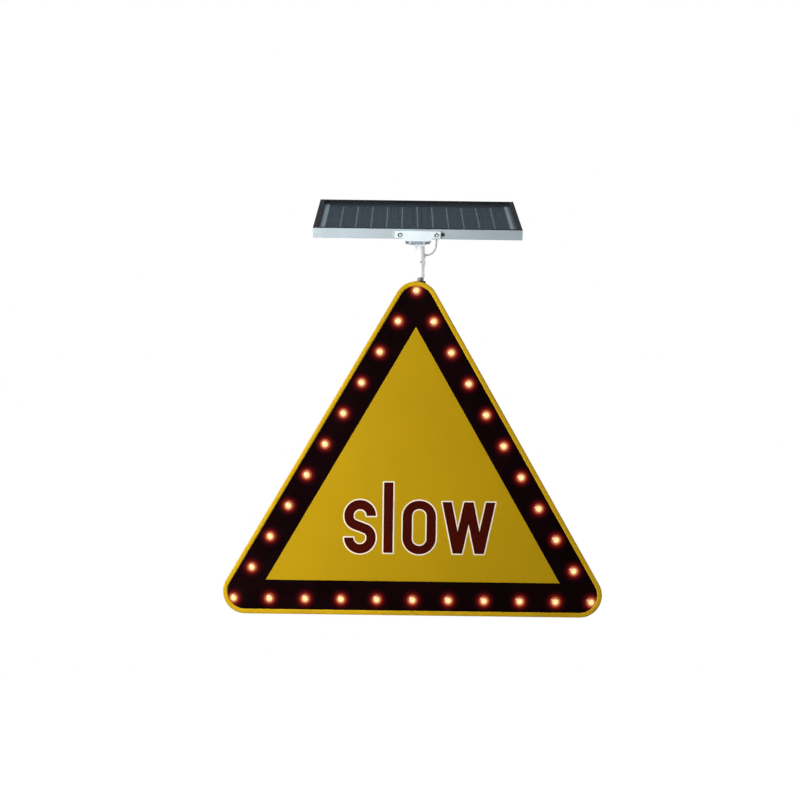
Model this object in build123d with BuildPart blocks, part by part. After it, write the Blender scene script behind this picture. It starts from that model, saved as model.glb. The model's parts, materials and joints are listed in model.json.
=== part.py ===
"""Solar flashing warning triangle: lamp housing, pole clamps and a tilting solar panel.

Millimetres, +X to the reader's right, -Y towards the reader, +Z up. The origin is on the pole's
axis, at the middle of the lower pole clamp.
"""

import os
from math import cos, pi, radians, sin, sqrt, tan

from build123d import *

os.makedirs("parts", exist_ok=True)

# ------------------------------------------------------------------ driving dimensions
# Pole clamps and rails
POLE_R = 38.0
STRAP_T = 4.0
STRAP_H = 30.0
CLAMP_GAP = 4.0  # from the pole's axis to the inner face of each clamp ear
EAR_REACH = 68.0
CLAMP_BOLT_X = 56.0
RAIL_D = 20.0
RAIL_H = 40.0
RAIL_T = 2.0
RAIL_SLOT = 10.0
RAIL_RISE = 230.0  # lower rail to upper rail
LOWER_RAIL_L = 440.0
UPPER_RAIL_L = 170.0

# Triangular housing
SIDE = 700.0  # between the sharp corners that the rounding removes
CORNER_R = 38.0
BASE_BELOW = 150.0  # lower rail down to the housing's underside
RIM_W = 8.0
RIM_PROUD = 3.0
WALL = 1.6
HOUSING_D = 40.0  # face film to the back of the rear lip
REAR_LIP = 16.0
FACE_T = 1.5
FILM_T = 0.4
PRINT_T = 0.2
COVER_T = 1.2
GASKET_T = 1.5
FIELD_SIDE = 500.0  # yellow triangle inside the black border
SCREW_INSET = 9.0

# Lamps
LAMP_SIDE = 606.0
LAMPS_PER_SIDE = 10
LAMP_R = 7.0
DOME_H = 3.0
CUP_R = 8.0
CUP_BACK = 10.0  # depth of the lamp cups' back faces
BOARD_W = 22.0
BOARD_T = 1.6

# Legend
BASELINE = 106.0  # above the housing's underside
LEGEND_X = 10.0
X_HEIGHT = 87.5
ROUND_HEIGHT = 91.0  # round letters stand a little taller than flat ones
STROKE = 15.8
OUTLINE = 2.2

# Panel bracket, heights above the housing's top
STEM_X = 7.0
STEM_D = 25.0
MAST_R = 5.5
MAST_TOP = 42.0
SLEEVE_R = 6.8
SLEEVE_FOOT = 8.0
SLEEVE_TOP = 62.0
COLLAR_R = 8.4
COLLAR_FOOT = 29.5
COLLAR_H = 8.5
CABLE_HOLE = 46.0
HINGE_H = 73.0
HINGE_R = 9.0
BOLT_R = 4.0
BARREL_L = 20.0
CHEEK_T = 4.0
SIDE_GAP = 0.3

# Solar panel
TILT = 17.0
PANEL_W = 344.0
PANEL_L = 260.0
PANEL_T = 17.0
PANEL_ABOVE_HINGE = 26.0
CRADLE_W = 48.0
CRADLE_END_W = 75.0
CRADLE_T = 3.0
LIP_W = 8.0
FLANGE_W = 12.0
FRAME_T = 1.2
CELL_COLUMNS = 12
CELL_ROWS = 3
CELL_PITCH_X = 25.8
CELL_PITCH_Y = 64.0
CELL_GAP = 1.6
GLASS_T = 3.2

# Panel cable
CABLE_R = 1.6
GLAND_X = 33.0

# ------------------------------------------------------------------ derived places
COVER_Y = -(POLE_R + STRAP_T + RAIL_D)  # outer face of the back cover
FACE_Y = COVER_Y - COVER_T - GASKET_T - HOUSING_D
Z_BOTTOM = -BASE_BELOW
Z_CENTRE = Z_BOTTOM + SIDE / (2 * sqrt(3))
Z_TOP = Z_CENTRE + SIDE / sqrt(3) - CORNER_R
STEM_Y = FACE_Y + STEM_D
LIP_INNER = HOUSING_D - WALL
COVER_IN = HOUSING_D + GASKET_T
COVER_OUT = COVER_IN + COVER_T
FACE_BACK = FILM_T + FACE_T

HINGE_Z = Z_TOP + HINGE_H
TILT_SIN, TILT_COS = sin(radians(TILT)), cos(radians(TILT))
PANEL_UP = Vector(0, -TILT_SIN, TILT_COS)
PANEL_BACK = Vector(0, TILT_COS, TILT_SIN)
HINGE = Vector(0, STEM_Y, HINGE_Z)
PANEL_BASE = HINGE + PANEL_UP * PANEL_ABOVE_HINGE + PANEL_BACK * PANEL_ABOVE_HINGE * tan(radians(TILT))
PANEL = Plane(origin=PANEL_BASE, x_dir=(1, 0, 0), z_dir=PANEL_UP)


def layer(depth):
    """Plane of the sign face at a depth behind the face film, seen from the front."""
    return Plane(origin=(0, FACE_Y + depth, Z_CENTRE), x_dir=(1, 0, 0), z_dir=(0, -1, 0))


def back_layer(depth):
    """The same plane seen from the back, so its x runs the other way."""
    return Plane(origin=(0, FACE_Y + depth, Z_CENTRE), x_dir=(-1, 0, 0), z_dir=(0, 1, 0))


def rounded_triangle(inset):
    """The sign's outline, set in evenly from its outer edge."""
    with BuildSketch(mode=Mode.PRIVATE) as shape:
        RegularPolygon(radius=SIDE / sqrt(3) - 2 * inset, side_count=3, rotation=90)
        fillet(shape.vertices(), radius=CORNER_R - inset)
    return shape.sketch


def band(outer, inner, front, back):
    """Adds a triangular ring between two insets, from depth front to depth back."""
    with BuildSketch(layer(back), mode=Mode.PRIVATE) as shape:
        add(rounded_triangle(outer))
        add(rounded_triangle(inner), mode=Mode.SUBTRACT)
    extrude(shape.sketch, amount=back - front)


def along_sides(inset, offsets):
    """Points on the three sides of the inset triangle, at offsets from each side's middle."""
    radius = SIDE / (2 * sqrt(3)) - inset
    points = []
    for turn in (0, 120, 240):
        for offset_x in offsets:
            points.append(Vector(offset_x, -radius).rotate(Axis.Z, turn))
    return [(point.X, point.Y) for point in points]


def turned(*profile):
    """Solid of revolution about Z from (radius, height) points."""
    with BuildPart(mode=Mode.PRIVATE) as piece:
        with BuildSketch(Plane.XZ):
            with BuildLine():
                Polyline(*profile, close=True)
            make_face()
        revolve(axis=Axis.Z)
    return piece.part


def pan_screw(radius, length, head_r, head_h):
    """Pan-head screw with its head above Z 0 and its shank below."""
    chamfer_r = head_r - 0.35 * head_h
    return turned(
        (0, -length), (radius - 0.4, -length), (radius, -length + 0.6), (radius, 0), (head_r, 0),
        (head_r, 0.5 * head_h), (chamfer_r, head_h), (0.45 * head_r, head_h), (0, 0.5 * head_h),
    )


def hex_bolt(radius, length, head_af, head_h):
    """Hexagon bolt with its head above Z 0 and its shank below."""
    with BuildPart(mode=Mode.PRIVATE) as piece:
        with BuildSketch():
            RegularPolygon(radius=head_af / 2, side_count=6, major_radius=False)
        extrude(amount=head_h)
        with BuildSketch():
            Circle(radius)
        extrude(amount=-length)
        chamfer(piece.faces().sort_by(Axis.Z)[0].edges(), length=0.6)
    return piece.part


def flange_nut(radius, nut_af, height, flange_r):
    """Hexagon flange nut standing on Z 0."""
    with BuildPart(mode=Mode.PRIVATE) as piece:
        with BuildSketch():
            RegularPolygon(radius=nut_af / 2, side_count=6, major_radius=False)
        extrude(amount=height)
        with BuildSketch():
            Circle(flange_r)
        extrude(amount=1.6)
        with BuildSketch():
            Circle(radius)
        extrude(amount=height, mode=Mode.SUBTRACT)
    return piece.part


def widest_arcs(points):
    """The largest arc for each corner of a cord's route: 0.45 of its shorter run over tan(turn / 2)."""
    radii = []
    for before, here, after in zip(points, points[1:], points[2:]):
        run_in, run_out = Vector(*here) - Vector(*before), Vector(*after) - Vector(*here)
        half_turn = radians(run_in.get_angle(run_out) / 2)
        radii.append(0.45 * min(run_in.length, run_out.length) / tan(half_turn))
    return radii


def tube(name, points, radius):
    """Round cord along straight runs joined by tangent arcs."""
    radii = widest_arcs(points)
    with BuildPart(mode=Mode.PRIVATE) as piece:
        with BuildLine() as path:
            FilletPolyline(*points, radius=radii)
        route = path.wire()
        with BuildSketch(Plane(origin=route @ 0, z_dir=route % 0)):
            Circle(radius)
        sweep(path=route)
    share = piece.part.volume / (pi * radius**2 * route.length)
    print(name, "length", round(route.length, 1), "volume share", round(share, 4))
    print("  radii", [round(value, 1) for value in radii])
    return piece


BLIND_RIVET = turned(
    (0, -6.4), (1.6, -6.4), (2.9, -5.2), (2.9, -3.2), (2, -3.2), (2, 0), (4, 0), (3, 1.2), (0, 1.8)
)
FRAME_SCREW = pan_screw(2.0, 9.0, 4.0, 2.4)


def write(builder, name):
    """Labels one finished piece and writes its STEP file."""
    builder.part.label = name
    export_step(builder.part, f"parts/{name}.step")


# ------------------------------------------------------------------ where things sit
corner_r = LAMP_SIDE / sqrt(3)
corners = [Vector(0, corner_r).rotate(Axis.Z, turn) for turn in (0, 120, 240)]
sides = [(corners[i], (corners[(i + 1) % 3] - corners[i]).normalized(), 240 + 120 * i) for i in range(3)]
LAMP_PITCH = LAMP_SIDE / LAMPS_PER_SIDE
lamps = [
    tuple(start + way * LAMP_PITCH * k)[:2] for start, way, _ in sides for k in range(LAMPS_PER_SIDE)
]
BOARD_START, BOARD_END = -8.0, LAMP_PITCH * (LAMPS_PER_SIDE - 1) + 12.0
stud_runs = [LAMP_PITCH * (k + 0.5) for k in (0, 4, 8)]
studs = [tuple(start + way * run)[:2] for start, way, _ in sides for run in stud_runs]

cover_screws = along_sides(SCREW_INSET, (-225, -90, 90, 225))
socket_screws = [(x, Z_TOP - 33.2 - Z_CENTRE) for x in (-30.7, 30.7)]
splice_rivets = [(x, FACE_Y + depth) for x in (-22, 22) for depth in (13, 29)]
drains = [(x, FACE_Y + HOUSING_D / 2) for x in (-200, 200)]
lower_rivets = [(x, 0.0) for x in (-195, -100, 0, 100, 195)]
upper_rivets = [(x, RAIL_RISE) for x in (-65, 0, 65)]

BATTERY_X, BATTERY_FOOT = -96.0, Z_BOTTOM + 36.0
CELL_R, CELL_H, CELLS = 9.3, 66.0, 6
STRAP_FOOT_X = 63.0
CASE_X, CASE_Z = 44.0, Z_BOTTOM + 68.0
CASE_W, CASE_H, CASE_D = 90.0, 56.0, 20.0
TAB_X = 52.0
SWITCH_X, SWITCH_Z = 130.0, Z_BOTTOM + 66.0
inside_screws = [
    (BATTERY_X - STRAP_FOOT_X, BATTERY_FOOT + CELL_H / 2),
    (BATTERY_X + STRAP_FOOT_X, BATTERY_FOOT + CELL_H / 2),
    (CASE_X - TAB_X, CASE_Z),
    (CASE_X + TAB_X, CASE_Z),
]


def on_back(x, z, depth=COVER_OUT):
    """Plane at a point of the sign's back, facing backwards."""
    return Plane(origin=(x, FACE_Y + depth, z), x_dir=(-1, 0, 0), z_dir=(0, 1, 0))


# ------------------------------------------------------------------ face
with BuildPart() as front_panel:
    with BuildSketch(layer(FACE_BACK)):
        add(rounded_triangle(2.0))
        with Locations(*lamps):
            Circle(LAMP_R + 0.2, mode=Mode.SUBTRACT)
    extrude(amount=FACE_T)
write(front_panel, "front_panel")

with BuildPart() as yellow_sheeting:
    with BuildSketch(layer(FILM_T)):
        add(rounded_triangle(2.2))
        with Locations(*lamps):
            Circle(LAMP_R + 0.4, mode=Mode.SUBTRACT)
    extrude(amount=FILM_T)
write(yellow_sheeting, "yellow_sheeting")

with BuildPart() as black_border:
    with BuildSketch(layer(0)):
        add(rounded_triangle(2.2))
        RegularPolygon(radius=FIELD_SIDE / sqrt(3), side_count=3, rotation=90, mode=Mode.SUBTRACT)
        with Locations(*lamps):
            Circle(LAMP_R + 0.4, mode=Mode.SUBTRACT)
    extrude(amount=PRINT_T)
write(black_border, "black_border")

# The legend reads "slow" in bold narrow lower-case letters of one stroke width. Baseline at y 0.
OVERSHOOT = (ROUND_HEIGHT - X_HEIGHT) / 2
S_X, S_BOWL_R = -1.7, 19.0
S_LOW, S_HIGH = S_BOWL_R + STROKE / 2 - OVERSHOOT, ROUND_HEIGHT - OVERSHOOT - STROKE / 2 - S_BOWL_R
S_SHOULDER = 11.5
L_X, L_HEIGHT = 46.3, 119.5
O_X, O_W, O_CAP = 99.0, 56.5, 14.2
W_X, W_TOP = 137.8, 74.4
with BuildSketch() as letters:
    with BuildSketch():
        with BuildLine(Plane(origin=(S_X, 0, 0))):
            CenterArc((0, S_HIGH), S_BOWL_R, 0, 180)
            FilletPolyline(
                (-S_BOWL_R, S_HIGH), (-S_BOWL_R, S_HIGH - S_SHOULDER),
                (S_BOWL_R, S_LOW + S_SHOULDER), (S_BOWL_R, S_LOW), radius=15,
            )
            CenterArc((0, S_LOW), S_BOWL_R, 180, 180)
        trace(line_width=STROKE)
    with BuildSketch():
        with Locations((L_X, L_HEIGHT / 2)):
            Rectangle(STROKE, L_HEIGHT)
    with BuildSketch():
        with Locations((O_X, X_HEIGHT / 2)):
            RectangleRounded(O_W, ROUND_HEIGHT, O_W / 2 - 0.5)
            RectangleRounded(O_W - 2 * STROKE, ROUND_HEIGHT - 2 * O_CAP, 12, mode=Mode.SUBTRACT)
    with BuildSketch():
        for top, foot in ((0, 0.25), (0.5, 0.25), (0.5, 0.75), (1, 0.75)):
            top_x, foot_x = W_X + W_TOP * top, W_X + W_TOP * foot
            with BuildLine():
                Polyline(
                    (top_x, X_HEIGHT), (top_x + STROKE, X_HEIGHT), (foot_x + STROKE, 0), (foot_x, 0),
                    close=True,
                )
            make_face()
LEGEND_MIDDLE = 99.0
LEGEND_SHIFT = Location((LEGEND_X - LEGEND_MIDDLE, Z_BOTTOM + BASELINE - Z_CENTRE, 0))
legend = letters.sketch.moved(LEGEND_SHIFT)

with BuildPart() as legend_outline:
    with BuildSketch(layer(0)):
        add(legend)
        offset(amount=OUTLINE)
    extrude(amount=PRINT_T)
write(legend_outline, "legend_outline")

with BuildPart() as legend_letters:
    with BuildSketch(layer(-PRINT_T)):
        add(legend)
    extrude(amount=PRINT_T)
write(legend_letters, "legend_letters")

# ------------------------------------------------------------------ edge frame
with BuildPart() as edge_frame:
    band(0, WALL, -RIM_PROUD, HOUSING_D)
    band(0, RIM_W, -RIM_PROUD, -PRINT_T)
    band(0, RIM_W, FACE_BACK, FACE_BACK + WALL)
    band(0, REAR_LIP, LIP_INNER, HOUSING_D)
    fillet(edge_frame.faces().sort_by(Axis.Y)[0].edges(), radius=2.4)
    with BuildSketch(Plane.XY.offset(Z_TOP - 20)):
        with Locations((STEM_X, STEM_Y)):
            Circle(7.5)
    extrude(amount=30, mode=Mode.SUBTRACT)
    with BuildSketch(Plane.XY.offset(Z_BOTTOM - 1)):
        with Locations(*splice_rivets):
            Circle(2.0)
        with Locations(*drains):
            Circle(2.5)
        with Locations((0, FACE_Y + HOUSING_D / 2)):
            Rectangle(0.4, 60)
    extrude(amount=20, mode=Mode.SUBTRACT)
    with BuildSketch(layer(HOUSING_D + 1)):
        with Locations(*cover_screws):
            Circle(2.0)
    extrude(amount=WALL + 2, mode=Mode.SUBTRACT)
    with Locations(*[back_layer(HOUSING_D) * Location((x, z, 0)) for x, z in socket_screws]):
        CounterSinkHole(radius=1.5, counter_sink_radius=2.9, depth=WALL + 1)
write(edge_frame, "edge_frame")

with BuildPart() as splice_plate:
    with BuildSketch(Plane.XY.offset(Z_BOTTOM + WALL)):
        with Locations((0, FACE_Y + 21)):
            RectangleRounded(70, 30, 4)
        with Locations(*splice_rivets):
            Circle(2.0, mode=Mode.SUBTRACT)
    extrude(amount=WALL)
write(splice_plate, "splice_plate")

rivet_places = [
    Plane(origin=(x, y, Z_BOTTOM), x_dir=(1, 0, 0), z_dir=(0, 0, -1)).location for x, y in splice_rivets
]
rivet_places += [on_back(x, z, COVER_OUT + RAIL_T).location for x, z in lower_rivets + upper_rivets]
with BuildPart() as blind_rivets:
    with Locations(*rivet_places):
        add(BLIND_RIVET)
write(blind_rivets, "blind_rivets")

# ------------------------------------------------------------------ lamps
with BuildPart(mode=Mode.PRIVATE) as lens:
    with BuildSketch(Plane.XZ):
        with BuildLine():
            dome_top, dome_foot = (0, PRINT_T + DOME_H), (LAMP_R, PRINT_T)
            Polyline(
                dome_top, (0, -FACE_BACK - 1.5), (CUP_R, -FACE_BACK - 1.5),
                (CUP_R, -FACE_BACK), (LAMP_R, -FACE_BACK), dome_foot,
            )
            TangentArc(dome_top, dome_foot, tangent=(1, 0))
        make_face()
    revolve(axis=Axis.Z)

CUP_FRONT = FACE_BACK + 1.5
lamp_places = [layer(0) * Location((x, z, 0)) for x, z in lamps]
with BuildPart() as led_lenses:
    with Locations(*lamp_places):
        add(lens.part)
write(led_lenses, "led_lenses")

with BuildPart() as led_cups:
    with BuildSketch(layer(CUP_BACK)):
        with Locations(*lamps):
            Circle(CUP_R)
            Circle(CUP_R - 2.2, mode=Mode.SUBTRACT)
    extrude(amount=CUP_BACK - CUP_FRONT)
write(led_cups, "led_cups")

with BuildPart() as led_emitters:
    with BuildSketch(layer(CUP_BACK)):
        with Locations(*lamps):
            Rectangle(5, 5)
    extrude(amount=1.6)
write(led_emitters, "led_emitters")

with BuildPart() as led_boards:
    with BuildSketch(layer(CUP_BACK + BOARD_T)):
        for start, way, turn in sides:
            middle = start + way * (BOARD_START + BOARD_END) / 2
            with Locations(Location((middle.X, middle.Y, 0), (0, 0, turn))):
                Rectangle(BOARD_END - BOARD_START, BOARD_W)
        with Locations(*studs):
            Circle(1.5, mode=Mode.SUBTRACT)
    extrude(amount=BOARD_T)
write(led_boards, "led_boards")

BOARD_STUD = turned(
    (0, -CUP_BACK - 5), (1.5, -CUP_BACK - 5), (1.5, -CUP_BACK), (3.2, -CUP_BACK),
    (3.2, -FACE_BACK), (0, -FACE_BACK),
)
with BuildPart() as board_studs:
    with Locations(*[layer(0) * Location((x, z, 0)) for x, z in studs]):
        add(BOARD_STUD)
write(board_studs, "board_studs")

with BuildPart() as board_nuts:
    with BuildSketch(layer(CUP_BACK + BOARD_T + 2.4)):
        with Locations(*studs):
            RegularPolygon(radius=2.75, side_count=6, major_radius=False)
            Circle(1.5, mode=Mode.SUBTRACT)
    extrude(amount=2.4)
write(board_nuts, "board_nuts")

# ------------------------------------------------------------------ back cover
with BuildPart() as back_cover:
    with BuildSketch(layer(COVER_OUT)):
        add(rounded_triangle(1.0))
        with Locations(*cover_screws):
            Circle(2.1, mode=Mode.SUBTRACT)
        with Locations(*[(x, z - Z_CENTRE) for x, z in lower_rivets + upper_rivets + inside_screws]):
            Circle(2.0, mode=Mode.SUBTRACT)
        with Locations((SWITCH_X, SWITCH_Z - Z_CENTRE)):
            Circle(8.1, mode=Mode.SUBTRACT)
    extrude(amount=COVER_T)
write(back_cover, "back_cover")

with BuildPart() as cover_gasket:
    band(2.5, REAR_LIP - 1, HOUSING_D, COVER_IN)
    with BuildSketch(layer(COVER_IN)):
        with Locations(*cover_screws):
            Circle(2.1)
    extrude(amount=GASKET_T, mode=Mode.SUBTRACT)
write(cover_gasket, "cover_gasket")

with BuildPart() as inside_screw_set:
    with Locations(*[on_back(x, z).location for x, z in inside_screws]):
        add(FRAME_SCREW)
write(inside_screw_set, "inside_screws")

with BuildPart() as cover_screw_set:
    with Locations(*[back_layer(COVER_OUT) * Location((x, z, 0)) for x, z in cover_screws]):
        add(FRAME_SCREW)
write(cover_screw_set, "cover_screws")

# ------------------------------------------------------------------ what the cover carries inside
COVER_IN_Y = FACE_Y + COVER_IN
PACK_SPAN = 2 * CELL_R * (CELLS - 1)
PACK_R = CELL_R + 0.5
pack_centre = (BATTERY_X, COVER_IN_Y - PACK_R)
with BuildPart() as battery_pack:
    with BuildSketch(Plane.XY.offset(BATTERY_FOOT)):
        with Locations(pack_centre):
            SlotCenterToCenter(PACK_SPAN, 2 * PACK_R)
    extrude(amount=CELL_H)
    chamfer(battery_pack.faces().filter_by(Axis.Z).edges(), length=0.8)
write(battery_pack, "battery_pack")

with BuildPart() as battery_strap:
    with BuildSketch(Plane.XY.offset(BATTERY_FOOT + CELL_H / 2 - 12)):
        with Locations(pack_centre):
            SlotCenterToCenter(PACK_SPAN, 2 * PACK_R + 2 * WALL)
        with Locations((BATTERY_X, COVER_IN_Y - WALL / 2)):
            Rectangle(2 * STRAP_FOOT_X + 16, WALL)
        with Locations(pack_centre):
            SlotCenterToCenter(PACK_SPAN, 2 * PACK_R, mode=Mode.SUBTRACT)
        with Locations((BATTERY_X, COVER_IN_Y + 10)):
            Rectangle(300, 20, mode=Mode.SUBTRACT)
    extrude(amount=24)
    with BuildSketch(layer(COVER_IN)):
        with Locations(*[(x, z - Z_CENTRE) for x, z in inside_screws[:2]]):
            Circle(2.0)
    extrude(amount=5, mode=Mode.SUBTRACT)
write(battery_strap, "battery_strap")

with BuildPart() as controller_case:
    with BuildSketch(layer(COVER_IN)):
        with Locations((CASE_X, CASE_Z - Z_CENTRE)):
            RectangleRounded(CASE_W, CASE_H, 4)
    extrude(amount=CASE_D - 2)
    with BuildSketch(layer(COVER_IN - 2)):
        with Locations((CASE_X, CASE_Z - Z_CENTRE)):
            RectangleRounded(CASE_W - 4, CASE_H - 4, 2)
    extrude(amount=CASE_D, mode=Mode.SUBTRACT)
    with BuildSketch(layer(COVER_IN)):
        with Locations((CASE_X - TAB_X, CASE_Z - Z_CENTRE), (CASE_X + TAB_X, CASE_Z - Z_CENTRE)):
            RectangleRounded(18, 18, 4)
            Circle(2.0, mode=Mode.SUBTRACT)
    extrude(amount=WALL)
    with BuildSketch(Plane.XY.offset(CASE_Z + CASE_H / 2 - 3)):
        with Locations(*[(CASE_X + x, COVER_IN_Y - 10) for x in (-30, -15, 0, 15, 30)]):
            Circle(2.4)
    extrude(amount=4, mode=Mode.SUBTRACT)
write(controller_case, "controller_case")

with BuildPart() as controller_lid:
    with BuildSketch(layer(COVER_IN - CASE_D + 2)):
        with Locations((CASE_X, CASE_Z - Z_CENTRE)):
            RectangleRounded(CASE_W, CASE_H, 4)
    extrude(amount=2)
    fillet(controller_lid.faces().sort_by(Axis.Y)[0].edges(), radius=0.8)
write(controller_lid, "controller_lid")

with BuildPart() as controller_board:
    with BuildSketch(layer(COVER_IN - 5)):
        with Locations((CASE_X, CASE_Z - Z_CENTRE)):
            Rectangle(CASE_W - 8, CASE_H - 8)
    extrude(amount=BOARD_T)
    with BuildSketch(layer(COVER_IN - 2)):
        with Locations((CASE_X, CASE_Z - Z_CENTRE)):
            with GridLocations(CASE_W - 16, CASE_H - 16, 2, 2):
                Circle(2.5)
    extrude(amount=3)
    with BuildSketch(layer(COVER_IN - 5 - BOARD_T)):
        with Locations((CASE_X, CASE_Z - Z_CENTRE + 14)):
            Rectangle(64, 9)
        with Locations((CASE_X - 18, CASE_Z - Z_CENTRE - 9), (CASE_X + 16, CASE_Z - Z_CENTRE - 8)):
            Rectangle(14, 12)
    extrude(amount=7)
write(controller_board, "controller_board")

# ------------------------------------------------------------------ power switch
SWITCH_R, FLANGE_R, FLANGE_T = 8.0, 11.0, 2.0
BUTTON_R, BUTTON_PROUD, BUTTON_TRAVEL = 6.0, 1.8, 1.5
switch_face = on_back(SWITCH_X, SWITCH_Z)
with BuildPart() as switch_body:
    with BuildSketch(switch_face.offset(FLANGE_T)):
        Circle(SWITCH_R)
    extrude(amount=-26)
    with BuildSketch(switch_face):
        Circle(FLANGE_R)
    extrude(amount=FLANGE_T)
    chamfer(switch_body.faces().sort_by(Axis.Y)[-1].edges(), length=0.7)
    with BuildSketch(switch_face.offset(FLANGE_T)):
        Circle(BUTTON_R + 0.3)
    extrude(amount=-11, mode=Mode.SUBTRACT)
    with BuildSketch(switch_face.offset(FLANGE_T - 26)):
        with GridLocations(7, 5, 2, 1):
            Rectangle(1, 3)
    extrude(amount=-6)
write(switch_body, "switch_body")

with BuildPart() as switch_nut:
    with BuildSketch(on_back(SWITCH_X, SWITCH_Z, COVER_IN)):
        RegularPolygon(radius=9.5, side_count=6, major_radius=False)
        Circle(SWITCH_R, mode=Mode.SUBTRACT)
    extrude(amount=-3)
write(switch_nut, "switch_nut")

with BuildPart() as power_button:
    with BuildSketch(switch_face.offset(FLANGE_T + BUTTON_PROUD)):
        Circle(BUTTON_R)
    extrude(amount=-8)
    fillet(power_button.faces().sort_by(Axis.Y)[-1].edges(), radius=0.8)
write(power_button, "power_button")

# ------------------------------------------------------------------ rails and pole clamps
def rail(length, height, rivets):
    """Slotted channel: web on the cover, slot open to the back, along X."""
    depth_y = COVER_Y + RAIL_D / 2
    with BuildPart(mode=Mode.PRIVATE) as piece:
        with BuildSketch(Plane.YZ.offset(-length / 2)):
            with Locations((depth_y, height)):
                RectangleRounded(RAIL_D, RAIL_H, 1.0)
                Rectangle(RAIL_D - 2 * RAIL_T, RAIL_H - 2 * RAIL_T, mode=Mode.SUBTRACT)
            with Locations((COVER_Y + RAIL_D, height)):
                Rectangle(3 * RAIL_T, RAIL_SLOT, mode=Mode.SUBTRACT)
        extrude(amount=length)
        with BuildSketch(on_back(0, 0)):
            with Locations(*[(-x, z) for x, z in rivets]):
                Circle(2.0)
        extrude(amount=RAIL_T, mode=Mode.SUBTRACT)
    return piece


def clamp_half(height, side):
    """Half of a pole clamp: side -1 is the saddle on the rail, +1 the hoop behind the pole."""
    ear_y = side * (CLAMP_GAP + STRAP_T / 2)
    with BuildPart(mode=Mode.PRIVATE) as piece:
        with BuildSketch(Plane.XY.offset(height - STRAP_H / 2)):
            Circle(POLE_R + STRAP_T)
            with Locations((0, ear_y)):
                Rectangle(2 * EAR_REACH, STRAP_T)
            if side < 0:
                with Locations((0, -(POLE_R + STRAP_T / 2))):
                    Rectangle(44, STRAP_T)
            Circle(POLE_R, mode=Mode.SUBTRACT)
            with Locations((0, -side * (100 - CLAMP_GAP))):
                Rectangle(200, 200, mode=Mode.SUBTRACT)
        extrude(amount=STRAP_H)
        tips = piece.edges().filter_by(Axis.Y).filter_by(lambda edge: abs(edge.center().X) > EAR_REACH - 1)
        fillet(tips, radius=6)
        with BuildSketch(Plane.XZ.offset(-side * (CLAMP_GAP - 1))):
            with Locations(*[(x, height) for x in (-CLAMP_BOLT_X, CLAMP_BOLT_X)]):
                Circle(BOLT_R + 0.3)
        extrude(amount=-side * (STRAP_T + 2), mode=Mode.SUBTRACT)
    return piece


write(rail(LOWER_RAIL_L, 0, lower_rivets), "rail_lower")
write(rail(UPPER_RAIL_L, RAIL_RISE, upper_rivets), "rail_upper")
for place, clamp_z in (("lower", 0), ("upper", RAIL_RISE)):
    write(clamp_half(clamp_z, -1), f"clamp_saddle_{place}")
    write(clamp_half(clamp_z, 1), f"clamp_hoop_{place}")

CLAMP_BOLT = hex_bolt(BOLT_R, 62.0, 13.0, 5.3)
clamp_bolt_places = [(x, z) for x in (-CLAMP_BOLT_X, CLAMP_BOLT_X) for z in (0, RAIL_RISE)]
HEAD_SEAT_Y = COVER_Y + RAIL_D - RAIL_T
with BuildPart() as clamp_bolts:
    with Locations(*[Plane((x, HEAD_SEAT_Y, z), z_dir=(0, -1, 0)).location for x, z in clamp_bolt_places]):
        add(CLAMP_BOLT)
write(clamp_bolts, "clamp_bolts")

with BuildPart() as clamp_nuts:
    nut_seat = CLAMP_GAP + STRAP_T
    with Locations(*[Plane((x, nut_seat, z), z_dir=(0, 1, 0)).location for x, z in clamp_bolt_places]):
        add(flange_nut(BOLT_R, 13.0, 8.0, 9.0))
write(clamp_nuts, "clamp_nuts")

# ------------------------------------------------------------------ mast in the apex
BLOCK_FRONT, BLOCK_DROP = 13.0, 38.0
stem = Plane(origin=(STEM_X, STEM_Y, Z_TOP))
with BuildPart() as apex_block:
    with BuildSketch(layer(LIP_INNER)):
        add(rounded_triangle(2.0))
        with Locations((0, Z_TOP - BLOCK_DROP - Z_CENTRE - 400)):
            Rectangle(900, 800, mode=Mode.SUBTRACT)
        with Locations(*socket_screws):
            Circle(1.5, mode=Mode.SUBTRACT)
    extrude(amount=LIP_INNER - BLOCK_FRONT)
    with BuildSketch(stem.offset(-BLOCK_DROP - 5)):
        Circle(MAST_R)
    extrude(amount=60, mode=Mode.SUBTRACT)
    with BuildSketch(on_back(STEM_X, Z_TOP - 27, LIP_INNER)):
        Circle(2.5)
    extrude(amount=-(LIP_INNER - STEM_D), mode=Mode.SUBTRACT)
write(apex_block, "apex_block")

SOCKET_SCREW = turned((0, -14), (1.5, -14), (1.5, -1.4), (2.9, 0), (1.0, 0), (0, -0.8))
with BuildPart() as block_screws:
    with Locations(*[back_layer(HOUSING_D) * Location((x, z, 0)) for x, z in socket_screws]):
        add(SOCKET_SCREW)
write(block_screws, "block_screws")

MAST_BORE = 4.0
with BuildPart() as mast:
    with BuildSketch(stem.offset(-BLOCK_DROP - 6)):
        Circle(MAST_R)
        Circle(MAST_BORE, mode=Mode.SUBTRACT)
    extrude(amount=BLOCK_DROP + 6 + MAST_TOP)
    chamfer(mast.faces().sort_by(Axis.Z)[-1].edges(), length=0.4)
write(mast, "mast")

with BuildPart() as mast_set_screw:
    with BuildSketch(on_back(STEM_X, Z_TOP - 27, STEM_D + 6.2)):
        Circle(2.5)
    extrude(amount=LIP_INNER - STEM_D - 6.6)
    with BuildSketch(on_back(STEM_X, Z_TOP - 27, LIP_INNER)):
        RegularPolygon(radius=1.25, side_count=6, major_radius=False)
    extrude(amount=-3.5, mode=Mode.SUBTRACT)
write(mast_set_screw, "mast_set_screw")

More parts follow.
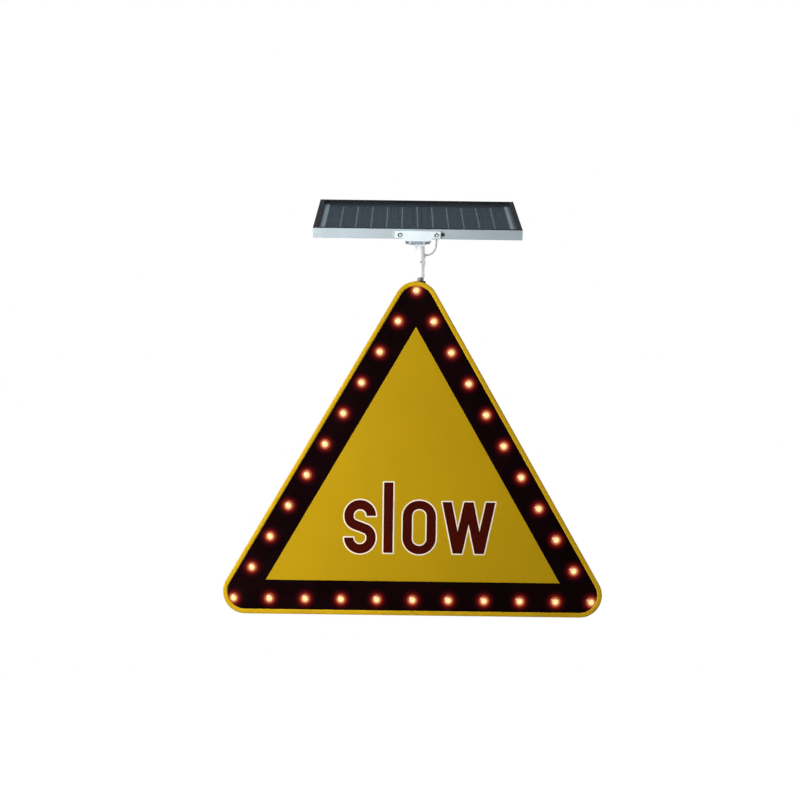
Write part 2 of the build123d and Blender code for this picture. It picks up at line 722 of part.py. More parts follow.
with BuildPart() as mast_seal:
    with BuildSketch(stem.offset(-8)):
        Circle(9)
    extrude(amount=10)
    with BuildSketch(layer(HOUSING_D), mode=Mode.PRIVATE) as shell:
        add(rounded_triangle(0))
        add(rounded_triangle(WALL), mode=Mode.SUBTRACT)
    extrude(shell.sketch, amount=HOUSING_D, mode=Mode.SUBTRACT)
    with BuildSketch(layer(LIP_INNER), mode=Mode.PRIVATE) as block_room:
        add(rounded_triangle(2.0))
    extrude(block_room.sketch, amount=LIP_INNER - BLOCK_FRONT, mode=Mode.SUBTRACT)
    with BuildSketch(stem.offset(-2.6)):
        Circle(7.5)
    extrude(amount=4.6)
    extrude(block_room.sketch, amount=LIP_INNER - BLOCK_FRONT, mode=Mode.SUBTRACT)
    with BuildSketch(stem.offset(-10)):
        Circle(MAST_R)
    extrude(amount=20, mode=Mode.SUBTRACT)
write(mast_seal, "mast_seal")

# ------------------------------------------------------------------ bracket head on the mast
CABLE_PORT = Plane(origin=(STEM_X + SLEEVE_R, STEM_Y, Z_TOP + CABLE_HOLE), x_dir=(0, 1, 0), z_dir=(1, 0, 0))
PORT_R = 3.0
GRUB_R = 1.5
COLLAR_MID = COLLAR_FOOT + COLLAR_H / 2
with BuildPart() as bracket_head:
    with BuildSketch(stem.offset(SLEEVE_FOOT)):
        Circle(SLEEVE_R)
    extrude(amount=SLEEVE_TOP - SLEEVE_FOOT)
    with BuildSketch(Plane.XZ.offset(-STEM_Y - 4.5)):
        with BuildLine():
            Polyline(
                (-6.5, HINGE_Z - 4), (9.6, HINGE_Z - 4), (9.6, Z_TOP + SLEEVE_TOP),
                (STEM_X, Z_TOP + SLEEVE_TOP - 8), (0.6, Z_TOP + SLEEVE_TOP - 15),
                (0.2, Z_TOP + SLEEVE_TOP - 10), close=True,
            )
        make_face()
    extrude(amount=9)
    with BuildSketch(Plane.YZ.offset(-BARREL_L / 2)):
        with Locations((STEM_Y, HINGE_Z)):
            Circle(HINGE_R)
    extrude(amount=BARREL_L)
    with BuildSketch(Plane.YZ.offset(-BARREL_L)):
        with Locations((STEM_Y, HINGE_Z)):
            Circle(BOLT_R + 0.1)
    extrude(amount=2 * BARREL_L, mode=Mode.SUBTRACT)
    with BuildSketch(stem.offset(SLEEVE_FOOT)):
        Circle(MAST_R + 0.05)
    extrude(amount=MAST_TOP + 1 - SLEEVE_FOOT, mode=Mode.SUBTRACT)
    with BuildSketch(stem.offset(SLEEVE_FOOT)):
        Circle(MAST_BORE + 0.5)
    extrude(amount=SLEEVE_TOP - 11 - SLEEVE_FOOT, mode=Mode.SUBTRACT)
    with BuildSketch(CABLE_PORT.offset(2)):
        Circle(PORT_R)
    extrude(amount=-2 - SLEEVE_R, mode=Mode.SUBTRACT)
    with BuildSketch(Plane.XZ.offset(-STEM_Y)):
        with Locations((STEM_X, Z_TOP + COLLAR_MID)):
            Circle(GRUB_R)
    extrude(amount=20, mode=Mode.SUBTRACT)
write(bracket_head, "bracket_head")

with BuildPart() as lock_collar:
    with BuildSketch(stem.offset(COLLAR_FOOT)):
        Circle(COLLAR_R)
        Circle(SLEEVE_R, mode=Mode.SUBTRACT)
    extrude(amount=COLLAR_H)
    collar_circles = lock_collar.edges().filter_by(GeomType.CIRCLE)
    outer_rims = collar_circles.filter_by(lambda edge: edge.radius > COLLAR_R - 0.1)
    chamfer(outer_rims, length=0.5)
    with BuildSketch(Plane.XZ.offset(-STEM_Y)):
        with Locations((STEM_X, Z_TOP + COLLAR_MID)):
            Circle(GRUB_R)
    extrude(amount=20, mode=Mode.SUBTRACT)
write(lock_collar, "lock_collar")

with BuildPart() as collar_screw:
    with BuildSketch(Plane.XZ.offset(-STEM_Y + MAST_R + 0.1)):
        with Locations((STEM_X, Z_TOP + COLLAR_MID)):
            Circle(GRUB_R)
    extrude(amount=COLLAR_R - MAST_R + 0.4)
    with BuildSketch(Plane.XZ.offset(-STEM_Y + COLLAR_R + 0.5)):
        with Locations((STEM_X, Z_TOP + COLLAR_MID)):
            RegularPolygon(radius=0.75, side_count=6, major_radius=False)
    extrude(amount=-1.5, mode=Mode.SUBTRACT)
write(collar_screw, "collar_screw")

with BuildPart() as stem_grommet:
    with BuildSketch(CABLE_PORT.offset(-1)):
        Circle(4.3)
    extrude(amount=2.6)
    with BuildSketch(stem.offset(CABLE_HOLE - 17)):
        Circle(SLEEVE_R)
    extrude(amount=30, mode=Mode.SUBTRACT)
    with BuildSketch(CABLE_PORT.offset(1.6)):
        Circle(PORT_R)
    extrude(amount=-3.6)
    fillet(stem_grommet.faces().sort_by(Axis.X)[-1].outer_wire().edges(), radius=0.8)
    with BuildSketch(CABLE_PORT.offset(4)):
        Circle(CABLE_R)
    extrude(amount=-10, mode=Mode.SUBTRACT)
write(stem_grommet, "stem_grommet")

# ------------------------------------------------------------------ cradle and hinge
UNDER = -PANEL_ABOVE_HINGE  # the hinge, measured from the panel's underside
HINGE_AFT = -PANEL_ABOVE_HINGE * tan(radians(TILT))
END_FOOT, END_TOP = 2.0, 13.4
CHEEK_IN = BARREL_L / 2 + SIDE_GAP
END_SCREW_X, END_SCREW_H = 30.0, (END_FOOT + END_TOP) / 2


def cheek_plane(x):
    """Plane across the hinge at x: its x runs up the panel to the back, its y away from the hinge."""
    return Plane(origin=(x, STEM_Y, HINGE_Z), x_dir=PANEL_BACK, z_dir=(1, 0, 0))


def end_plane(end):
    """Plane on the panel's front (-1) or rear (+1) face, facing out, its y along the panel's height."""
    origin = PANEL_BASE + PANEL_BACK * end * PANEL_L / 2
    return Plane(origin=origin, x_dir=(-end, 0, 0), z_dir=PANEL_BACK * end)


with BuildPart() as cradle:
    with BuildSketch(PANEL.offset(-CRADLE_T)):
        Rectangle(CRADLE_W, PANEL_L + 2 * CRADLE_T)
    extrude(amount=CRADLE_T)
    for end in (-1, 1):
        with BuildSketch(end_plane(end)):
            with Locations((0, (END_TOP - CRADLE_T) / 2)):
                Rectangle(CRADLE_W, END_TOP + CRADLE_T)
            with Locations((0, END_SCREW_H)):
                RectangleRounded(CRADLE_END_W, END_TOP - END_FOOT, 1.5)
            with Locations((-END_SCREW_X, END_SCREW_H), (END_SCREW_X, END_SCREW_H)):
                Circle(2.0, mode=Mode.SUBTRACT)
        extrude(amount=CRADLE_T)
    for x in (-CHEEK_IN - CHEEK_T, CHEEK_IN):
        with BuildSketch(cheek_plane(x)):
            with BuildLine():
                Polyline(
                    (-HINGE_R, 0), (-17, PANEL_ABOVE_HINGE - CRADLE_T), (17, PANEL_ABOVE_HINGE - CRADLE_T),
                    (HINGE_R, 0), close=True,
                )
            make_face()
            Circle(HINGE_R)
            Circle(BOLT_R, mode=Mode.SUBTRACT)
        extrude(amount=CHEEK_T)
write(cradle, "cradle")

bolt_span = 2 * (CHEEK_IN + CHEEK_T)
with BuildPart() as hinge_bolt:
    with Locations(Plane((-bolt_span / 2, STEM_Y, HINGE_Z), z_dir=(-1, 0, 0)).location):
        add(hex_bolt(BOLT_R, bolt_span + 10.5, 13.0, 5.3))
write(hinge_bolt, "hinge_bolt")

with BuildPart() as hinge_nut:
    with Locations(Plane((bolt_span / 2, STEM_Y, HINGE_Z), z_dir=(1, 0, 0)).location):
        add(flange_nut(BOLT_R, 13.0, 8.0, 8.6))
write(hinge_nut, "hinge_nut")

with BuildPart() as cradle_screws:
    for end in (-1, 1):
        for x in (-END_SCREW_X, END_SCREW_X):
            with Locations(end_plane(end).offset(CRADLE_T) * Location((x, END_SCREW_H, 0))):
                add(pan_screw(2.0, 9.0, 3.6, 2.0))
write(cradle_screws, "cradle_screws")

# ------------------------------------------------------------------ solar panel
SHELF = 11.0  # back sheet's underside above the panel's underside
SHEET_T, CELL_T = 0.4, 0.4
GLASS_FOOT = SHELF + SHEET_T + CELL_T
LAMINATE_IN = 1.7


def frame_ring(width, foot, top):
    """Adds a rectangular ring of the panel frame, width wide, between two heights."""
    with BuildSketch(PANEL.offset(foot), mode=Mode.PRIVATE) as shape:
        Rectangle(PANEL_W, PANEL_L)
        Rectangle(PANEL_W - 2 * width, PANEL_L - 2 * width, mode=Mode.SUBTRACT)
    extrude(shape.sketch, amount=top - foot)


def frame_rail(name, way_x, way_y):
    """One mitred rail of the panel frame, on the side that (way_x, way_y) points to."""
    half_w, half_l = PANEL_W / 2, PANEL_L / 2
    reach = 40.0
    if way_x:
        outline = [
            (half_w, -half_l), (half_w, half_l),
            (half_w - reach, half_l - reach), (half_w - reach, reach - half_l),
        ]
        outline = [(way_x * x, y) for x, y in outline]
    else:
        outline = [
            (-half_w, half_l), (half_w, half_l),
            (half_w - reach, half_l - reach), (reach - half_w, half_l - reach),
        ]
        outline = [(x, way_y * y) for x, y in outline]
    with BuildPart(mode=Mode.PRIVATE) as piece:
        frame_ring(FRAME_T, 0, PANEL_T)
        frame_ring(FLANGE_W, 0, FRAME_T)
        frame_ring(LIP_W, SHELF - FRAME_T, SHELF)
        frame_ring(LIP_W, PANEL_T - FRAME_T, PANEL_T)
        with BuildSketch(PANEL, mode=Mode.PRIVATE) as mitre:
            with BuildLine():
                Polyline(*outline, close=True)
            make_face()
        extrude(mitre.sketch, amount=PANEL_T, mode=Mode.INTERSECT)
        if way_y:
            with BuildSketch(end_plane(way_y)):
                with Locations((-END_SCREW_X, END_SCREW_H), (END_SCREW_X, END_SCREW_H)):
                    Circle(2.0)
                with Locations((41.5, END_SCREW_H)):
                    Circle(2.2)
            extrude(amount=-FRAME_T - 1, mode=Mode.SUBTRACT)
    write(piece, name)


frame_rail("panel_rail_front", 0, -1)
frame_rail("panel_rail_rear", 0, 1)
frame_rail("panel_rail_left", -1, 0)
frame_rail("panel_rail_right", 1, 0)

KEY_ARM, KEY_W = 28.0, 8.0
with BuildPart() as corner_keys:
    with BuildSketch(PANEL.offset(FRAME_T)):
        for way_x in (-1, 1):
            for way_y in (-1, 1):
                corner_x, corner_y = way_x * (PANEL_W / 2 - FRAME_T), way_y * (PANEL_L / 2 - FRAME_T)
                with Locations((corner_x - way_x * KEY_ARM / 2, corner_y - way_y * KEY_W / 2)):
                    Rectangle(KEY_ARM, KEY_W)
                with Locations((corner_x - way_x * KEY_W / 2, corner_y - way_y * KEY_ARM / 2)):
                    Rectangle(KEY_W, KEY_ARM)
    extrude(amount=SHELF - 2 * FRAME_T)
write(corner_keys, "corner_keys")

with BuildPart() as backsheet:
    with BuildSketch(PANEL.offset(SHELF)):
        Rectangle(PANEL_W - 2 * LAMINATE_IN, PANEL_L - 2 * LAMINATE_IN)
    extrude(amount=SHEET_T)
write(backsheet, "backsheet")

CELL_SHEET_H = PANEL.offset(SHELF + SHEET_T)
with BuildPart() as solar_cells:
    with BuildSketch(CELL_SHEET_H):
        with GridLocations(CELL_PITCH_X, CELL_PITCH_Y, CELL_COLUMNS, CELL_ROWS):
            Rectangle(CELL_PITCH_X - CELL_GAP, CELL_PITCH_Y - CELL_GAP)
    extrude(amount=CELL_T / 2)
write(solar_cells, "solar_cells")

BUS_REACH = CELL_PITCH_Y * CELL_ROWS + 24
with BuildPart() as cell_ribbons:
    with BuildSketch(CELL_SHEET_H.offset(CELL_T / 2)):
        with GridLocations(CELL_PITCH_X, 0, CELL_COLUMNS, 1):
            with GridLocations(12, 0, 2, 1):
                Rectangle(1.4, BUS_REACH)
        with GridLocations(0, BUS_REACH - 5, 1, 2):
            Rectangle(CELL_PITCH_X * CELL_COLUMNS - 8, 5)
    extrude(amount=CELL_T / 2)
write(cell_ribbons, "cell_ribbons")

with BuildPart() as panel_glass:
    with BuildSketch(PANEL.offset(GLASS_FOOT)):
        Rectangle(PANEL_W - 2 * LAMINATE_IN, PANEL_L - 2 * LAMINATE_IN)
    extrude(amount=PANEL_T - FRAME_T - GLASS_FOOT)
write(panel_glass, "panel_glass")

# ------------------------------------------------------------------ junction box and cable
BOX_X, BOX_W, BOX_L = 61.0, 66.0, 48.0
BOX_FOOT, BOX_LID_T = -3.0, 1.6
GLAND_AFT = HINGE_AFT + 3.4
with BuildPart() as junction_box:
    with BuildSketch(PANEL.offset(BOX_FOOT)):
        with Locations((BOX_X, GLAND_AFT)):
            RectangleRounded(BOX_W, BOX_L, 4)
    extrude(amount=SHELF - BOX_FOOT)
    with BuildSketch(PANEL.offset(BOX_FOOT)):
        with Locations((BOX_X, GLAND_AFT)):
            RectangleRounded(BOX_W - 4, BOX_L - 4, 2.5)
    extrude(amount=SHELF - BOX_FOOT - 2, mode=Mode.SUBTRACT)
write(junction_box, "junction_box")

with BuildPart() as junction_lid:
    with BuildSketch(PANEL.offset(BOX_FOOT - BOX_LID_T)):
        with Locations((BOX_X, GLAND_AFT)):
            RectangleRounded(BOX_W, BOX_L, 4)
        with Locations((GLAND_X, GLAND_AFT)):
            Circle(3.0, mode=Mode.SUBTRACT)
    extrude(amount=BOX_LID_T)
write(junction_lid, "junction_lid")

GLAND_FOOT = BOX_FOOT - BOX_LID_T
GLAND_TIP = GLAND_FOOT - 8.0
with BuildPart() as cable_gland:
    with BuildSketch(PANEL.offset(GLAND_FOOT)):
        with Locations((GLAND_X, GLAND_AFT)):
            RegularPolygon(radius=4.6, side_count=6, major_radius=False)
    extrude(amount=-3.5)
    with BuildSketch(PANEL.offset(GLAND_FOOT - 3.5)):
        with Locations((GLAND_X, GLAND_AFT)):
            Circle(3.9)
    extrude(amount=-4.5, taper=12)
    with BuildSketch(PANEL.offset(GLAND_FOOT)):
        with Locations((GLAND_X, GLAND_AFT)):
            Circle(3.0)
    extrude(amount=BOX_LID_T + 2)
    with BuildSketch(PANEL.offset(GLAND_TIP - 1)):
        with Locations((GLAND_X, GLAND_AFT)):
            Circle(CABLE_R)
    extrude(amount=20, mode=Mode.SUBTRACT)
write(cable_gland, "cable_gland")


# The free cable drops out of the gland, sags outwards and turns into the bracket's sleeve.
gland_mouth = PANEL_BASE + PANEL_UP * (GLAND_TIP + 2) + PANEL_BACK * GLAND_AFT + Vector(GLAND_X, 0, 0)
cable_points = [
    tuple(gland_mouth),
    tuple(gland_mouth - PANEL_UP * 9.0),
    (GLAND_X + 0.8, STEM_Y + 4.8, HINGE_Z - 3.0),
    (GLAND_X - 1.0, STEM_Y + 3.6, HINGE_Z - 16.5),
    (STEM_X + 15.8, STEM_Y, Z_TOP + CABLE_HOLE),
    (STEM_X + 1.5, STEM_Y, Z_TOP + CABLE_HOLE),
]
write(tube("panel_cable", cable_points, CABLE_R), "panel_cable")
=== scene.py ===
"""Looks for the solar flashing warning triangle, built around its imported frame.

Metres, +X to the viewer's right, -Y towards the viewer, +Z up, as in the frame.
"""

import json
from math import atan2, pi, radians, sqrt

import bmesh
import bpy
from mathutils import Matrix, Vector


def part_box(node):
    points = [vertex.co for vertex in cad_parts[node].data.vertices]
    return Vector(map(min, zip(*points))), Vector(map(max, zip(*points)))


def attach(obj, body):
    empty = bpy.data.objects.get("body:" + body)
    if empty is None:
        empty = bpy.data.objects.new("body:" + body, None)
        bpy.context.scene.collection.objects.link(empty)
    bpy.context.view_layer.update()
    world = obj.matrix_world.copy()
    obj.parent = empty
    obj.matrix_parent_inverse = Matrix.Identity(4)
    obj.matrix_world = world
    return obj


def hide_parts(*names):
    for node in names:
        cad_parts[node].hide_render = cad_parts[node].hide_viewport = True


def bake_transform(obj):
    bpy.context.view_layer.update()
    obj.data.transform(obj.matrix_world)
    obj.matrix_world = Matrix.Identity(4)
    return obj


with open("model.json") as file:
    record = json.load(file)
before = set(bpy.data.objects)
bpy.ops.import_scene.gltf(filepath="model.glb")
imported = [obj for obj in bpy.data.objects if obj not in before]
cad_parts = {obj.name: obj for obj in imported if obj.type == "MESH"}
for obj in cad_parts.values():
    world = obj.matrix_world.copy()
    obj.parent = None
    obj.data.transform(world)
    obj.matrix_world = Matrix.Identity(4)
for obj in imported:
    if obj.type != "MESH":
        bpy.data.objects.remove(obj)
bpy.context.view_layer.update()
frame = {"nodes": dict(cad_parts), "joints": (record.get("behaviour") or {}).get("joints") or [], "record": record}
nodes = frame["nodes"]
MM = 0.001

# ------------------------------------------------------------------ camera
CAMERA_AWAY = 2.845  # in front of the sign's face
CAMERA_ASIDE = -0.0255
CAMERA_Z = 0.216
CAMERA_LENS = 75.3
CAMERA_ROLL = radians(0.75)

face_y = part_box("black_border")[0].y
camera = bpy.data.objects.new("camera", bpy.data.cameras.new("camera"))
bpy.context.scene.collection.objects.link(camera)
camera.data.lens = CAMERA_LENS
camera.location = (CAMERA_ASIDE, face_y - CAMERA_AWAY, CAMERA_Z)
camera.rotation_euler = (pi / 2, -CAMERA_ROLL, 0)
bpy.context.scene.camera = camera


# ------------------------------------------------------------------ mesh helpers
made = []  # every new piece with its material slot


def new_piece(name, mesh, slot, body):
    """A finished mesh as a piece on a body; its slot's material comes later."""
    piece = bpy.data.objects.new(name, mesh)
    bpy.context.scene.collection.objects.link(piece)
    made.append((piece, slot))
    if body:
        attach(piece, body)
    return piece


def line_points(control):
    """Points along the smooth spline that has these control points."""
    curve = bpy.data.curves.new("route", "CURVE")
    curve.dimensions = "3D"
    curve.resolution_u = 16
    spline = curve.splines.new("NURBS")
    spline.points.add(len(control) - 1)
    for point, place in zip(spline.points, control):
        point.co = (*place, 1)
    spline.order_u = 3
    spline.use_endpoint_u = True
    holder = bpy.data.objects.new("route", curve)
    mesh = bpy.data.meshes.new_from_object(holder)
    points = [vertex.co.copy() for vertex in mesh.vertices]
    bpy.data.objects.remove(holder)
    bpy.data.curves.remove(curve)
    bpy.data.meshes.remove(mesh)
    return points


def circle(middle, radius, axis, across, sides):
    """Points round an axis, the first of them out along across."""
    turns = (Matrix.Rotation(2 * pi * step / sides, 3, axis) for step in range(sides))
    return [middle + turn @ across * radius for turn in turns]


def wall_faces(rings, sides):
    """Faces that join each ring of points to the next."""
    faces = []
    for ring in range(rings - 1):
        for step in range(sides):
            a, b = ring * sides + step, ring * sides + (step + 1) % sides
            faces.append((a, b, b + sides, a + sides))
    return faces


def tube_mesh(name, points, radius, sides=24):
    """Round tube along points, its rings kept from twisting and its ends closed."""
    verts = []
    across = (points[1] - points[0]).orthogonal().normalized()
    for index, here in enumerate(points):
        ahead = points[min(index + 1, len(points) - 1)] - points[max(index - 1, 0)]
        ahead.normalize()
        across = (across - ahead * across.dot(ahead)).normalized()
        verts += circle(here, radius, ahead, across, sides)
    last = len(verts) - sides
    ends = [tuple(reversed(range(sides))), tuple(range(last, last + sides))]
    mesh = bpy.data.meshes.new(name)
    mesh.from_pydata(verts, [], wall_faces(len(points), sides) + ends)
    mesh.polygons.foreach_set("use_smooth", [len(face.vertices) == 4 for face in mesh.polygons])
    mesh.update()
    return mesh


def outward_mesh(name, verts, faces, merge=0.0):
    """Mesh whose faces look outwards, with points nearer than merge joined."""
    mesh = bpy.data.meshes.new(name)
    mesh.from_pydata(verts, [], faces)
    shape = bmesh.new()
    shape.from_mesh(mesh)
    if merge:
        bmesh.ops.remove_doubles(shape, verts=shape.verts, dist=merge)
    bmesh.ops.recalc_face_normals(shape, faces=shape.faces)
    shape.to_mesh(mesh)
    shape.free()
    return mesh


def turned_mesh(name, profile, base, axis, sides=40):
    """Smooth mesh turned about an axis from (radius, distance along the axis) points."""
    across = axis.orthogonal().normalized()
    verts = []
    for radius, reach in profile:
        verts += circle(base + axis * reach, radius, axis, across, sides)
    mesh = outward_mesh(name, verts, wall_faces(len(profile), sides), merge=1e-6)
    mesh.shade_smooth()
    return mesh


# ------------------------------------------------------------------ panel cable
# From the panel's gland, down beside the hinge and into the bracket's sleeve.
CABLE_D = 3.2 * MM
cable_route = [
    Vector(place) * MM
    for place in (
        (33.0, -80.95, 506.94), (33.0, -78.32, 498.33), (33.8, -74.9, 488.22),
        (32.0, -76.1, 474.72), (22.8, -79.7, 464.22), (8.5, -79.7, 464.22),
    )
]
cable_line = line_points(cable_route)
cable = new_piece("cable", tube_mesh("cable", cable_line, CABLE_D / 2), "cable_grey", None)
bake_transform(cable)
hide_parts("panel_cable")

# ------------------------------------------------------------------ where the panel is
panel_joint = next(joint for joint in frame["joints"] if joint["name"] == "panel_tilt")
hinge = Vector(panel_joint["pos_m"])
glass_face = max(nodes["panel_glass"].data.polygons, key=lambda face: face.area)
glass_up = glass_face.normal if glass_face.normal.z > 0 else -glass_face.normal
panel_tilt = atan2(-glass_up.y, glass_up.z)
up_slope = Matrix.Rotation(panel_tilt, 3, "X")  # turns the panel's own directions into the frame's


def panel_reach(node):
    """Lowest and highest corner of a node in the panel's own frame: across, up its slope, off it."""
    flat = Matrix.Rotation(-panel_tilt, 3, "X")
    spots = [flat @ (vertex.co - hinge) for vertex in nodes[node].data.vertices]
    return [Vector(pick(spot[axis] for spot in spots) for axis in range(3)) for pick in (min, max)]


cells_low, cells_high = panel_reach("solar_cells")
sheet_low, sheet_high = panel_reach("backsheet")
rails = {end: panel_reach(f"panel_rail_{end}") for end in ("front", "rear")}
panel_half = -rails["front"][0].x
panel_front = rails["front"][0].y
panel_rear = rails["rear"][1].y
panel_top = rails["front"][1].z

# ------------------------------------------------------------------ drain plugs in the front and rear rails
PLUG_X = 41.5 * MM  # aside of the hinge's middle: right at the front, left at the rear
PLUG_H = 7.7 * MM  # above the panel's underside
PLUG_PROFILE = [  # radius, and distance out from the rail's face
    (radius * MM, reach * MM)
    for radius, reach in (
        (0.0, 0.9), (1.2, 0.85), (2.2, 0.6), (2.8, 0.25), (3.0, 0.0), (3.0, -0.02),
        (2.05, -0.02), (2.05, -1.8), (2.35, -2.2), (1.7, -3.2), (0.0, -3.4),
    )
]

for end, facing, face_along in (("front", -1, panel_front), ("rear", 1, panel_rear)):
    spot = hinge + up_slope @ Vector((-facing * PLUG_X, face_along, rails[end][0].z + PLUG_H))
    plug = turned_mesh(f"drain_plug_{end}", PLUG_PROFILE, spot, up_slope @ Vector((0, facing, 0)))
    new_piece(f"drain_plug_{end}", plug, "black_rubber", "panel")

# ------------------------------------------------------------------ threads on the bolts
THREAD_PITCH = 1.25 * MM
THREAD_FOOT_R, THREAD_CREST_R = 3.96 * MM, 4.24 * MM
THREAD_FOOT, THREAD_CREST = 0.42 * THREAD_PITCH, 0.08 * THREAD_PITCH  # half widths of the ridge
THREAD_GROWTH = 3  # the ridge grows to its full height in a third of a turn
CLAMP_THREAD, HINGE_THREAD = 38 * MM, 8 * MM  # threaded lengths
NUT_FLANGE_R = 9.0 * MM
TIP_CHAMFER = 0.7 * MM


def thread_mesh(name, tip, axis, length, steps=32):
    """Ridge that winds back from a bolt's tip and tapers out at both ends; axis points out of the tip."""
    across = axis.orthogonal().normalized()
    turns = length / THREAD_PITCH
    count = int(turns * steps)
    verts, faces = [], []
    for index in range(count + 1):
        here = index / steps
        height = min(1, THREAD_GROWTH * here, THREAD_GROWTH * (turns - here))
        crest_r = THREAD_FOOT_R + (THREAD_CREST_R - THREAD_FOOT_R) * height
        spoke = Matrix.Rotation(2 * pi * here, 3, axis) @ across
        middle = tip - axis * (TIP_CHAMFER + THREAD_PITCH * here)
        for radius, aside in (
            (THREAD_FOOT_R, -THREAD_FOOT), (crest_r, -THREAD_CREST),
            (crest_r, THREAD_CREST), (THREAD_FOOT_R, THREAD_FOOT),
        ):
            verts.append(middle + spoke * radius + axis * aside)
    for a in range(0, 4 * count, 4):
        faces += [(a + k, a + (k + 1) % 4, a + 4 + (k + 1) % 4, a + 4 + k) for k in range(4)]
    faces += [(0, 1, 2, 3), (4 * count + 3, 4 * count + 2, 4 * count + 1, 4 * count)]
    return outward_mesh(name, verts, faces)


bolt_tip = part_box("clamp_bolts")[1].y
bolt_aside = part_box("clamp_nuts")[1].x - NUT_FLANGE_R
for place in ("lower", "upper"):
    hoop_low, hoop_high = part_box(f"clamp_hoop_{place}")
    for side, aside in (("left", -bolt_aside), ("right", bolt_aside)):
        name = f"clamp_thread_{place}_{side}"
        tip = Vector((aside, bolt_tip, (hoop_low.z + hoop_high.z) / 2))
        thread = thread_mesh(name, tip, Vector((0, 1, 0)), CLAMP_THREAD)
        new_piece(name, thread, "zinc_steel", "sign")
tip = Vector((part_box("hinge_bolt")[1].x, hinge.y, hinge.z))
thread = thread_mesh("hinge_thread", tip, Vector((1, 0, 0)), HINGE_THREAD)
new_piece("hinge_thread", thread, "zinc_steel", "panel")


# ------------------------------------------------------------------ material helpers
def set_range(node, low, high, to_low, to_high):
    """Tells a Map Range node to carry low..high over to to_low..to_high."""
    limits = {"From Min": low, "From Max": high, "To Min": to_low, "To Max": to_high}
    for name, number in limits.items():
        node.inputs[name].default_value = number


LOOKS = {}  # the material of each slot


class Look:
    """A slot's material under construction: short ways to add and join its nodes."""

    def __init__(self, slot):
        self.material = bpy.data.materials.new(slot)
        LOOKS[slot] = self.material
        self.material.use_nodes = True
        self.tree = self.material.node_tree
        self.shader = next(n for n in self.tree.nodes if n.type == "BSDF_PRINCIPLED")
        self.place = self.add("ShaderNodeTexCoord").outputs["Object"]
        self.bumped = None

    def add(self, kind, **inputs):
        """A new node; an input's name has _ for each space."""
        node = self.tree.nodes.new(kind)
        for name, value in inputs.items():
            self.feed(node.inputs[name.replace("_", " ")], value)
        return node

    def feed(self, socket, value):
        """Joins a socket to another node's output, or sets its value."""
        if isinstance(value, bpy.types.NodeSocket):
            self.tree.links.new(value, socket)
        else:
            socket.default_value = value

    def set(self, **inputs):
        """Feeds the shader's own inputs; three numbers are a colour."""
        for name, value in inputs.items():
            if isinstance(value, tuple) and len(value) == 3:
                value = (*value, 1)
            self.feed(self.shader.inputs[name.replace("_", " ")], value)

    def math(self, operation, *values):
        node = self.tree.nodes.new("ShaderNodeMath")
        node.operation = operation
        for socket, value in zip(node.inputs, values):
            self.feed(socket, value)
        return node.outputs[0]

    def fold(self, operation, values):
        """One value made from several by the same operation."""
        result, *others = values
        for value in others:
            result = self.math(operation, result, value)
        return result

    def weighed(self, first, share, second, other_share):
        """Two values times their shares, added up."""
        part, other_part = self.math("MULTIPLY", first, share), self.math("MULTIPLY", second, other_share)
        return self.math("ADD", part, other_part)

    def distance(self, aside, up):
        """Straight distance from two distances at right angles."""
        return self.math("SQRT", self.weighed(aside, aside, up, up))

    def xyz(self):
        return self.add("ShaderNodeSeparateXYZ", Vector=self.place).outputs

    def stretched(self, x, y, z):
        """Place scaled unevenly, for grain that runs one way."""
        return self.add("ShaderNodeMapping", Vector=self.place, Scale=(x, y, z)).outputs[0]

    def noise(self, size, detail=3.0, roughness=0.55, at=None):
        """Noise from 0 to 1 whose blotches are about size metres across."""
        node = self.add(
            "ShaderNodeTexNoise", Vector=at or self.place, Scale=1 / size, Detail=detail, Roughness=roughness
        )
        return node.outputs["Fac"]

    def grains(self, size):
        """A tone from 0 to 1 for each crystal grain, about size metres across."""
        cells = self.add("ShaderNodeTexVoronoi", Vector=self.place, Scale=1 / size)
        return self.add("ShaderNodeSeparateColor", Color=cells.outputs["Color"]).outputs[0]

    def span(self, value, low, high, to_low=0.0, to_high=1.0):
        """Value from low..high carried over to to_low..to_high, and held at the ends."""
        node = self.add("ShaderNodeMapRange", Value=value)
        set_range(node, low, high, to_low, to_high)
        return node.outputs[0]

    def ramp(self, value, *stops):
        """Colour read off a strip of (position, colour) stops."""
        node = self.add("ShaderNodeValToRGB", Fac=value)
        bar = node.color_ramp.elements
        while len(bar) < len(stops):
            bar.new(1.0)
        for element, (position, colour) in zip(bar, stops):
            element.position = position
            element.color = (*colour, 1)
        return node.outputs["Color"]

    def mix(self, share, first, second):
        """Colour between first, at share 0, and second, at share 1."""
        node = self.tree.nodes.new("ShaderNodeMix")
        node.data_type = "RGBA"
        colours = [socket for socket in node.inputs if socket.type == "RGBA"]
        self.feed(node.inputs["Factor"], share)
        for socket, colour in zip(colours, (first, second)):
            self.feed(socket, (*colour, 1) if isinstance(colour, tuple) else colour)
        return next(socket for socket in node.outputs if socket.type == "RGBA")

    def uneven(self, size, low, high, detail=3.0):
        """Roughness that wanders between low and high in blotches of about size metres."""
        self.set(Roughness=self.span(self.noise(size, detail), 0.3, 0.7, low, high))

    def bump(self, height, depth, strength=1.0):
        """Adds relief of depth metres on top of any that is there already."""
        node = self.add("ShaderNodeBump", Height=height, Strength=strength, Distance=depth)
        if self.bumped:
            self.feed(node.inputs["Normal"], self.bumped)
        self.bumped = node.outputs["Normal"]
        self.set(Normal=self.bumped)


def shade(colour, factor):
    """A colour made lighter or darker."""
    return tuple(min(1.0, part * factor) for part in colour)


def mottle(look, colour, size=0.12, amount=0.12):
    """Colour that drifts a little lighter and darker over the surface."""
    return look.ramp(look.noise(size), (0.3, shade(colour, 1 - amount)), (0.7, shade(colour, 1 + amount)))


